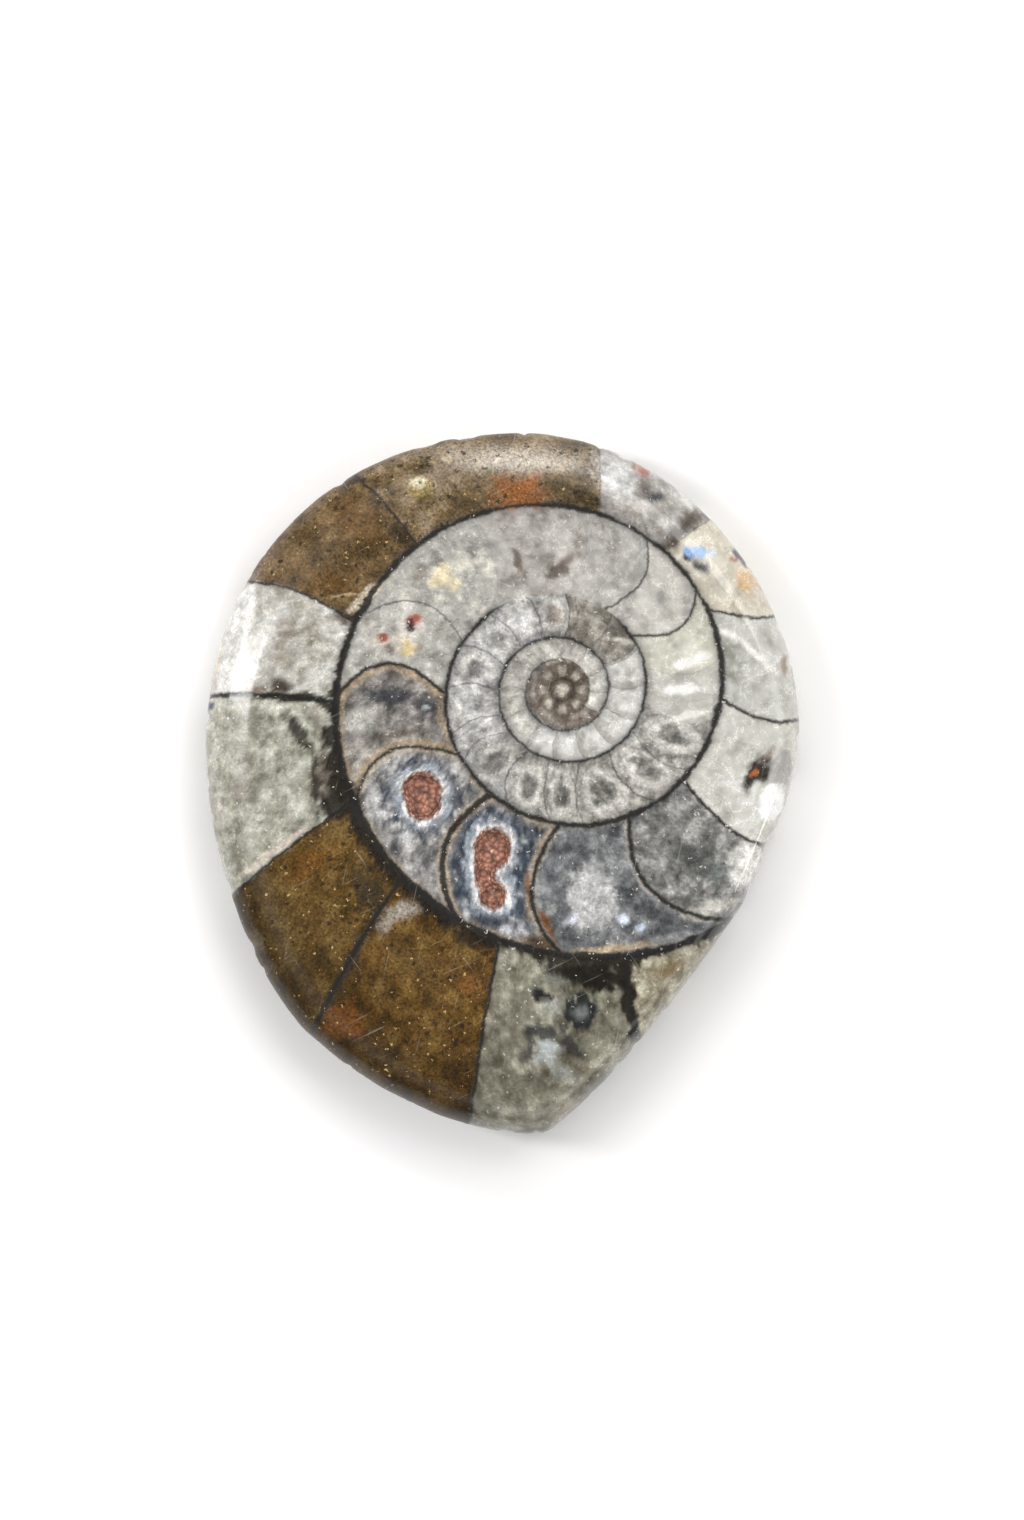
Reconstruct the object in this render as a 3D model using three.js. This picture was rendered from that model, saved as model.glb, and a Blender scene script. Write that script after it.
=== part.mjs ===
// Goniatite fossil: one slice sawn through the coiled shell, with a flat polished face, a rim
// rounded over towards that face and a flat sawn underside that it lies on.
// Millimetres, +Z up. The origin is the middle of the slice's box, on the face it rests on.
import * as THREE from 'three';

// Driving dimensions
const halfWidth = 19.05;
const halfLength = 22.5;
const thickness = 6.5;

// Rim: the rounding is widest on one side of the coil and narrowest on the broken side opposite
const rimRoundMean = 2.9;
const rimRoundSwing = 1.4;
const rimWidestAt = THREE.MathUtils.degToRad(135);
const rimRoundDrop = 2.6;
const undersideEdgeRound = 0.6;

// Turning points of the outline: the two sides, the head, and the corners of the broken edge
const rightMost = new THREE.Vector2(halfWidth, 3.3);
const headTop = new THREE.Vector2(1.1, halfLength);
const leftMost = new THREE.Vector2(-halfWidth, 2.5);
const leftCorner = new THREE.Vector2(-12.85, -15.65);
const tipStart = new THREE.Vector2(1.9, -halfLength);
const tipEnd = new THREE.Vector2(3.2, -22.1);
const breakEnd = new THREE.Vector2(15.4, -7.75);

// Bends of the long sides: each pair pulls the outline between two turning points
const rightBends = [new THREE.Vector2(16.6, -4.9), new THREE.Vector2(halfWidth, -0.4)];
const leftBends = [new THREE.Vector2(-halfWidth, -3.5), new THREE.Vector2(-16.95, -10.8)];
const footBends = [new THREE.Vector2(-8.8, -19.6), new THREE.Vector2(-2.9, -halfLength)];
const tipBend = new THREE.Vector2(2.7, -halfLength);
const breakBends = [new THREE.Vector2(7.2, -19.1), new THREE.Vector2(12.0, -12.7)];

// How full the two quarters of the head are: 0.55 is a quarter ellipse, more is squarer
const rightHeadFullness = 0.525;
const leftHeadFullness = 0.585;

// Centre of the coil: the rim is rounded over towards it
const coilCentre = new THREE.Vector2(3.75, 5.95);

// Fineness of the mesh
const pointSpacing = 1.2;
const rimRoundSteps = 6;
const edgeRoundSteps = 2;

// The outline runs counter-clockwise from the upper end of the broken edge.
function makeOutline() {
  const path = new THREE.Path();
  path.moveTo(breakEnd.x, breakEnd.y);
  addBend(path, rightBends, rightMost);
  addQuarter(path, rightMost, headTop, true, rightHeadFullness);
  addQuarter(path, headTop, leftMost, false, leftHeadFullness);
  addBend(path, leftBends, leftCorner);
  addBend(path, footBends, tipStart);
  path.quadraticCurveTo(tipBend.x, tipBend.y, tipEnd.x, tipEnd.y);
  addBend(path, breakBends, breakEnd);
  return path;
}

// A long side: from where the path is to a turning point, pulled by two bends.
function addBend(path, bends, to) {
  path.bezierCurveTo(bends[0].x, bends[0].y, bends[1].x, bends[1].y, to.x, to.y);
}

// A quarter of the head between two points; it leaves the first one upright or level.
function addQuarter(path, from, to, leavesUpright, fullness) {
  const reach = to.clone().sub(from).multiplyScalar(fullness);
  const first = from.clone();
  const second = to.clone();
  if (leavesUpright) {
    first.y += reach.y;
    second.x -= reach.x;
  } else {
    first.x += reach.x;
    second.y -= reach.y;
  }
  path.bezierCurveTo(first.x, first.y, second.x, second.y, to.x, to.y);
}

// Points along the outline, evenly spaced on each curve so that every turning point is kept.
function sampleOutline(path) {
  return path.curves.flatMap((curve) => {
    const steps = Math.max(2, Math.round(curve.getLength() / pointSpacing));
    return curve.getSpacedPoints(steps).slice(0, -1);
  });
}

// Width of the rounded rim at a point of the outline, from its direction seen from the coil.
function rimRoundAt(point) {
  const direction = point.clone().sub(coilCentre).angle();
  return rimRoundMean + rimRoundSwing * Math.cos(direction - rimWidestAt);
}

// One ring of the body: the outline drawn in towards the coil's centre, at one height.
function makeRing(outline, insetAt, height) {
  return outline.map((point) => {
    const inset = insetAt(point) / point.distanceTo(coilCentre);
    const inner = point.clone().lerp(coilCentre, inset);
    return new THREE.Vector3(inner.x, inner.y, height);
  });
}

// Rings from the underside up: a small quarter round, then the wide quarter ellipse of the rim.
function makeRings(outline) {
  const rings = [];
  for (let step = 0; step <= edgeRoundSteps; step += 1) {
    const angle = (Math.PI / 2) * (step / edgeRoundSteps);
    const inset = undersideEdgeRound * (1 - Math.sin(angle));
    const height = undersideEdgeRound * (1 - Math.cos(angle));
    rings.push(makeRing(outline, () => inset, height));
  }
  const roundStart = thickness - rimRoundDrop;
  for (let step = 0; step <= rimRoundSteps; step += 1) {
    const angle = (Math.PI / 2) * (step / rimRoundSteps);
    const insetAt = (point) => rimRoundAt(point) * (1 - Math.cos(angle));
    rings.push(makeRing(outline, insetAt, roundStart + rimRoundDrop * Math.sin(angle)));
  }
  return rings;
}

// The closed body: bands between the rings, and a fan of triangles over each flat face.
function makeSlice() {
  const rings = makeRings(sampleOutline(makeOutline()));
  const count = rings[0].length;
  const vertices = rings.flat();
  const undersideCentre = vertices.push(new THREE.Vector3(coilCentre.x, coilCentre.y, 0)) - 1;
  const faceCentre = vertices.push(new THREE.Vector3(coilCentre.x, coilCentre.y, thickness)) - 1;
  const topRing = (rings.length - 1) * count;
  const triangles = [];
  for (let i = 0; i < count; i += 1) {
    const next = (i + 1) % count;
    for (let start = 0; start < topRing; start += count) {
      triangles.push(start + i, start + next, start + count + next);
      triangles.push(start + i, start + count + next, start + count + i);
    }
    triangles.push(undersideCentre, next, i);
    triangles.push(faceCentre, topRing + i, topRing + next);
  }
  const geometry = new THREE.BufferGeometry().setFromPoints(vertices);
  geometry.setIndex(triangles);
  geometry.computeVertexNormals();
  return geometry;
}

// Calcite and brown limestone, polished
const polishedFossil = new THREE.MeshStandardMaterial({ color: 0x9c978c, roughness: 0.25, metalness: 0 });

const slice = new THREE.Mesh(makeSlice(), polishedFossil);
slice.name = 'goniatite_slice';

const group = new THREE.Group();
group.add(slice);

export default group;
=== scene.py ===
import functools
import math
import bpy
import numpy as np
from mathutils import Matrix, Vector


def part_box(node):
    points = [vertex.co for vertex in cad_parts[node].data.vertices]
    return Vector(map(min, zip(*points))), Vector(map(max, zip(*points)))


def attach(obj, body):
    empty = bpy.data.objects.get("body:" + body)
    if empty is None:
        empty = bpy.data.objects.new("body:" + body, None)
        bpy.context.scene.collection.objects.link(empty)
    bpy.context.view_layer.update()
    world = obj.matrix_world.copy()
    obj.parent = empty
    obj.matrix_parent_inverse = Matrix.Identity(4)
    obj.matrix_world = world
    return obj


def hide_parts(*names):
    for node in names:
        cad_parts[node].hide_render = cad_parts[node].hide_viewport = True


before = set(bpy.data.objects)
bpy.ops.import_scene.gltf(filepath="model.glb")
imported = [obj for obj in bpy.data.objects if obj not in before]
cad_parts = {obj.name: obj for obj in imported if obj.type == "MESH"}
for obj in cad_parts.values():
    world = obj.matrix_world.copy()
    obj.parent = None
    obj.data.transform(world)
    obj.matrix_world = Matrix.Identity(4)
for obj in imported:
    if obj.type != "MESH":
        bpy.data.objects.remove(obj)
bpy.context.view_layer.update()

mm = 0.001  # a millimetre in Blender's metres
low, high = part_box("goniatite_slice")
halfWidth, halfLength = (high.x - low.x) / 2 / mm, (high.y - low.y) / 2 / mm
thickness = (high.z - low.z) / mm

sliceShape = dict(
    coilCentre=(3.75, 5.95),  # mm, middle of the coil
    rimRoundMean=2.9, rimRoundSwing=1.4,  # mm, width of the rounded rim
    rimWidestAt=135.0, rimRoundDrop=2.6,  # degrees, mm
    undersideRound=0.6,  # mm
    coilFlare=0.030, coilTwist=0.020,  # share and radians for each mm down the side
    columns=520, faceRows=98, rimRows=24, sideRows=8, edgeRows=3, undersideRows=42,
    waveDepth=0.07, waveLength=1.3,  # mm, the rim's small unevenness
    chipDepth=0.16, chipLength=0.7, chipShare=0.70,  # mm, mm, how rare a chip is
    notchAt=(17.0, -4.1), notchReach=0.4, notchDepth=0.3,  # mm, where a bigger chip has broken out
)


# One Bezier stretch: its points weighted by the usual powers of t and 1 - t
def bezierStretch(points, t):
    t = t[:, None]
    if len(points) == 3:
        weights = ((1 - t)**2, 2 * t * (1 - t), t**2)
    else:
        weights = ((1 - t)**3, 3 * t * (1 - t)**2, 3 * t**2 * (1 - t), t**3)
    return sum(weight * np.array(point) for weight, point in zip(weights, points))


# A quarter ellipse as a Bezier stretch: each handle reaches `fullness` of the way to the corner
def quarterStretch(start, end, leavesUpright, fullness):
    dx, dy = end[0] - start[0], end[1] - start[1]
    if leavesUpright:
        return [start, (start[0], start[1] + fullness * dy), (end[0] - fullness * dx, end[1]), end]
    return [start, (start[0] + fullness * dx, start[1]), (end[0], end[1] - fullness * dy), end]


# The slice's outline: seven stretches between its turning points, then evenly spaced along them
def sliceOutline(count):
    rightMost, headTop, leftMost = (halfWidth, 3.3), (1.1, halfLength), (-halfWidth, 2.5)
    leftCorner, tipStart = (-12.85, -15.65), (1.9, -halfLength)
    tipEnd, breakEnd = (3.2, -22.1), (15.4, -7.75)
    stretches = [
        [breakEnd, (16.6, -4.9), (halfWidth, -0.4), rightMost],
        quarterStretch(rightMost, headTop, True, 0.525),
        quarterStretch(headTop, leftMost, False, 0.585),
        [leftMost, (-halfWidth, -3.5), (-16.95, -10.8), leftCorner],
        [leftCorner, (-8.8, -19.6), (-2.9, -halfLength), tipStart],
        [tipStart, (2.7, -halfLength), tipEnd],
        [tipEnd, (7.2, -19.1), (12.0, -12.7), breakEnd],
    ]
    t = np.linspace(0, 1, 400, endpoint=False)
    fine = np.concatenate([bezierStretch(points, t) for points in stretches])
    fine = np.vstack([fine, fine[:1]])
    run = np.concatenate([[0], np.cumsum(np.hypot(*np.diff(fine, axis=0).T))])
    wanted = np.linspace(0, run[-1], count, endpoint=False)
    return np.stack([np.interp(wanted, run, fine[:, 0]), np.interp(wanted, run, fine[:, 1])], 1)


# Random heights on a square lattice of that size in mm, blended smoothly between its corners
def softNoise(x, y, size, seed):
    heights = np.random.default_rng(seed).random((256, 256))
    column, row = np.floor(x / size).astype(int), np.floor(y / size).astype(int)
    along, up = x / size - column, y / size - row
    along, up = along**2 * (3 - 2 * along), up**2 * (3 - 2 * up)
    left, right, below, above = column % 256, (column + 1) % 256, row % 256, (row + 1) % 256
    lower = heights[below, left] * (1 - along) + heights[below, right] * along
    upper = heights[above, left] * (1 - along) + heights[above, right] * along
    return lower * (1 - up) + upper * up


# Three layers of the lattice noise, each half the size and 0.6 the strength of the one before
def mottle(x, y, size, seed):
    total = sum(0.6**k * softNoise(x + 7.3 * k, y - 3.1 * k, size / 2**k, seed + k) for k in range(3))
    return np.clip((total / 1.96 - 0.5) * 1.6 + 0.5, 0, 1)


# 0 below the first edge, 1 above the second, and an S-curve between
def ramp(value, start, end):
    t = np.clip((value - start) / (end - start), 0, 1)
    return t * t * (3 - 2 * t)


# An sRGB hex colour as linear light
def hexColour(code):
    parts = np.array([int(code[i:i + 2], 16) / 255 for i in (1, 3, 5)])
    return np.where(parts <= 0.04045, parts / 12.92, ((parts + 0.055) / 1.055)**2.4)


coil = dict(
    firstTurn=330.0, lastTurn=1747.0,  # degrees, where the wall starts and where the slice's edge cuts it
    start=0.0847, growth=0.071, quickening=0.0007,  # logarithm of the radius: start, gain and its rise
    squeeze=0.0125, squeezeTo=-16.0,  # the coil is a little longer in this direction
    drift=0.008, driftTo=-73.0,  # and a little off centre towards this one
    # the dark wall: turns in degrees, and half its width in mm there; below 0 it is worn away
    lineTurns=(330, 690, 1050, 1125, 1145, 1195, 1215, 1400, 1435, 1470, 1535, 1565, 1610, 1650, 1747),
    lineWidths=(0.0, 0.05, 0.08, 0.08, -0.08, -0.08, 0.09, 0.16, 0.19, 0.13, 0.12, 0.16, 0.22, 0.22, 0.24),
    haloTone="#454547", haloReach=0.38, haloCover=0.55,  # mm, stain either side of the wall
    # black mud outside the wall: turns, and how wide in mm
    seamTurns=(1590, 1625, 1645, 1660, 1672, 1682, 1693, 1703, 1709, 1723, 1729, 1747),
    seamWidths=(0, 0.45, 1.25, 1.0, 0.75, 0.9, 0.6, 0.7, 1.4, 1.4, 0.5, 0.3),
)


# Radius of the shell wall: a logarithmic spiral that quickens, squeezed and drifted as above
def wallRadius(turn):
    t = np.radians(turn)
    wobble = coil["squeeze"] * np.cos(2 * (t - math.radians(coil["squeezeTo"])))
    wobble += coil["drift"] * np.cos(t - math.radians(coil["driftTo"]))
    return np.exp(coil["start"] + coil["growth"] * t + coil["quickening"] * t**2 + wobble)


# Place of each point in the shell: the turn of the chamber that holds it, counted along the coil,
# and its distances in mm outwards from the inner wall and inwards from the outer wall
def shellPlace(x, y, edgeRadius):
    dx, dy = x - sliceShape["coilCentre"][0], y - sliceShape["coilCentre"][1]
    radius, direction = np.hypot(dx, dy), np.degrees(np.arctan2(dy, dx)) % 360
    whorl = np.where(direction >= coil["firstTurn"], 0, 1)
    for n in range(5):
        turn = direction + 360 * n
        isWall = (turn >= coil["firstTurn"]) & (turn <= coil["lastTurn"])
        whorl = np.where(isWall & (radius > wallRadius(turn)), n + 1, whorl)
    turn = direction + 360 * whorl
    inner = np.where(turn - 360 >= coil["firstTurn"], wallRadius(turn - 360), 0)
    outer = np.where(turn <= coil["lastTurn"], wallRadius(turn), 1e3)
    return turn, radius - inner, outer - radius, inner, np.minimum(outer, edgeRadius)


# One chamber: the septum that opens it, as its turn in degrees at the inner and at the outer shell
# wall, how far it sags back between them and its half width in mm; then the dark, main and light
# tones of what fills it, and what else it has
def chamber(atInner, atOuter, sag, halfLine, dark, main, light, **others):
    return dict(septum=(atInner, atOuter, sag, halfLine), fill=(dark, main, light), **others)


# The later chambers, from the coil's start outwards, and the turn where the last one ends
lastChamberEnd = 2120
chambers = [
    chamber(1299, 1296, 6, 0.0, "#7e7c76", "#9e9c97", "#b4b3af", eye=0.6),
    chamber(1322, 1326, 7, 0.02, "#7d7974", "#a4a19a", "#bcb9b3", eye=0.8),
    chamber(1341, 1345, 3, 0.0, "#79766f", "#a8a49c", "#bfbcb4", eye=1.0),
    chamber(1364, 1360, 4, 0.0, "#7f7d77", "#a8a49b", "#c0bcb3", eye=1.0),
    chamber(1388, 1391, 6, 0.02, "#8f8b86", "#b0aca4", "#c8c5be", eye=0.9),
    chamber(1411, 1409, 6, 0.0, "#85837e", "#aeaba4", "#c5c2ba", eye=1.0),
    chamber(1432, 1430, 6, -0.06, "#a19e96", "#bdbab2", "#d6d3ca", calm=0.75),
    chamber(1443, 1440, 6, -0.06, "#a5a39b", "#c1beb5", "#dad7ce", calm=0.75),
    chamber(1455, 1452, 6, -0.05, "#a9a899", "#c8c6b7", "#dfddcf", calm=0.75),
    chamber(1478, 1477, 10, 0.08, "#9a9892", "#c4bfb6", "#d3d1c8", calm=0.75),
    chamber(1502, 1501, 8, 0.05, "#9c9892", "#b2afa9", "#c9c7c0", calm=0.6),
    chamber(1514, 1512, 6, -0.06, "#8f8a83", "#afaba5", "#c3bfb7", calm=0.6),
    chamber(1527, 1525, 6, -0.06, "#89837b", "#b3aea7", "#cac6be", calm=0.6),
    chamber(1540, 1537, 6, -0.06, "#847e76", "#aca7a1", "#c2bfb7", calm=0.6),
    chamber(1566, 1557, 4, -0.06, "#8e8b84", "#b2b0a8", "#d5d0c2", calm=0.35),
    chamber(1594, 1601, 10, 0.02, "#938f87", "#b4b1a9", "#d2cec6", calm=0.35),
    chamber(1622, 1622, 11, 0.12, "#524e4b", "#87827d", "#b2aca3", lining=("#a8957c", 0.55)),
    chamber(1652, 1649, 11, 0.09, "#5c5b5c", "#9b9895", "#cac8c5", lining=("#b5a896", 0.40)),
    chamber(1676, 1685, 8, 0.20, "#33383f", "#62666b", "#b5b7b8", lining=("#a99a88", 0.50)),
    chamber(1709, 1710, 8, 0.14, "#4b4c4d", "#6d6e6f", "#979897", lining=("#a6a097", 0.30)),
    chamber(1738, 1747, 9, 0.14, "#5a5a57", "#7f7e7a", "#a9a7a2", rays=0.6),
    chamber(1764, 1763, 3, 0.11, "#aaa79f", "#cccac0", "#e0dfd9", calm=0.75),
    chamber(1797, 1793, 3, 0.10, "#a4a29b", "#c5c4bc", "#dad8d3", calm=0.75),
    chamber(1829, 1819, 2, 0.09, "#aca392", "#d0c8b6", "#e4ddcf", calm=0.75),
    chamber(1853, 1849, 0, 0.0, "#767069", "#9c9791", "#c1beb8", calm=0.3),
    chamber(1878, 1881, 0, -0.02, "#5d4d34", "#86704f", "#a48f74", stone="limestone"),
    chamber(1935, 1934, 1, 0.08, "#5b4729", "#735c3c", "#8b7350", stone="limestone"),
    chamber(1962, 1961, 2, 0.08, "#969183", "#b9b4ab", "#d3d2ca", calm=0.25),
    chamber(1983, 1981, 1, 0.15, "#868375", "#a8a697", "#c9c8bb", calm=0.15),
    # edge=: painted shade, darker towards the slice's edge where the rounded rim turns from the light
    chamber(2008, 2012, 0, 0.10, "#54401d", "#6c5126", "#866b3c", stone="limestone", edge=0.55),
    chamber(2029.5, 2034, 0, 0.14, "#4f3917", "#6c4e22", "#866836", stone="limestone", edge=0.55),
    chamber(2056, 2058, 0, 0.11, "#585446", "#7d796a", "#9f9c8b", calm=0.3, rays=0.3),
    chamber(2083, 2082, 0, 0.10, "#807865", "#9c957f", "#b5b09c"),
]

# The coil's early chambers are too small to tell apart one by one: each stretch of the coil has
# one filling and evenly spaced septa.
earlyStretches = [
    dict(start=345, stop=690, step=46, line=-0.1, fill=("#6d6056", "#8c8379", "#a69d92")),
    dict(start=690, stop=960, step=30, line=-0.03, fill=("#9b968d", "#c1bdb4", "#d8d5cc"),
         bead=0.4, calm=0.3),
    dict(start=960, stop=1112, step=25, line=-0.03, fill=("#b0ada6", "#d3d1cb", "#e8e6e2"),
         bead=0.5, calm=0.6),
    dict(start=1112, stop=1168, step=25, line=-0.02, fill=("#6e695f", "#8f897f", "#b2aca2")),
    dict(start=1168, stop=1298, step=23, line=0.0, eye=0.65, fill=("#8c8a87", "#b6b4b0", "#d2d1ce")),
]


# All chambers in the order they grew
def allChambers():
    early = [
        dict(septum=(turn, turn, 4, stretch["line"]), **stretch)
        for stretch in earlyStretches
        for turn in range(stretch["start"], stretch["stop"], stretch["step"])
    ]
    return early + chambers


# Signed distance in mm from each point to a septum, positive on the younger side: the turn that
# is left over, as an arc at that radius, shortened where the septum runs aslant
def pastSeptum(septum, turn, across, radius, width):
    atInner, atOuter, sag, halfLine = septum
    septumTurn = atInner + (atOuter - atInner) * across - 4 * sag * across * (1 - across)
    slope = np.radians(atOuter - atInner - 4 * sag * (1 - 2 * across)) * radius / width
    return np.radians(turn - septumTurn) * radius / np.hypot(1, slope)


# One stain as an ellipse: place and half sizes in mm, tilt in degrees, tone, how soft its edge is
# (1 fades from the middle), how strongly it covers, and how ragged its edge is: a small stain is
# less ragged, as 1.5 times its smaller half size, unless it says otherwise
def stain(x, y, along, aside, tilt, tone, soft, cover, ragged=None):
    if ragged is None:
        ragged = min(1, 1.5 * min(along, aside))
    return dict(at=(x, y), size=(along, aside), tilt=tilt, tone=tone, soft=soft, cover=cover, ragged=ragged)


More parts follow.
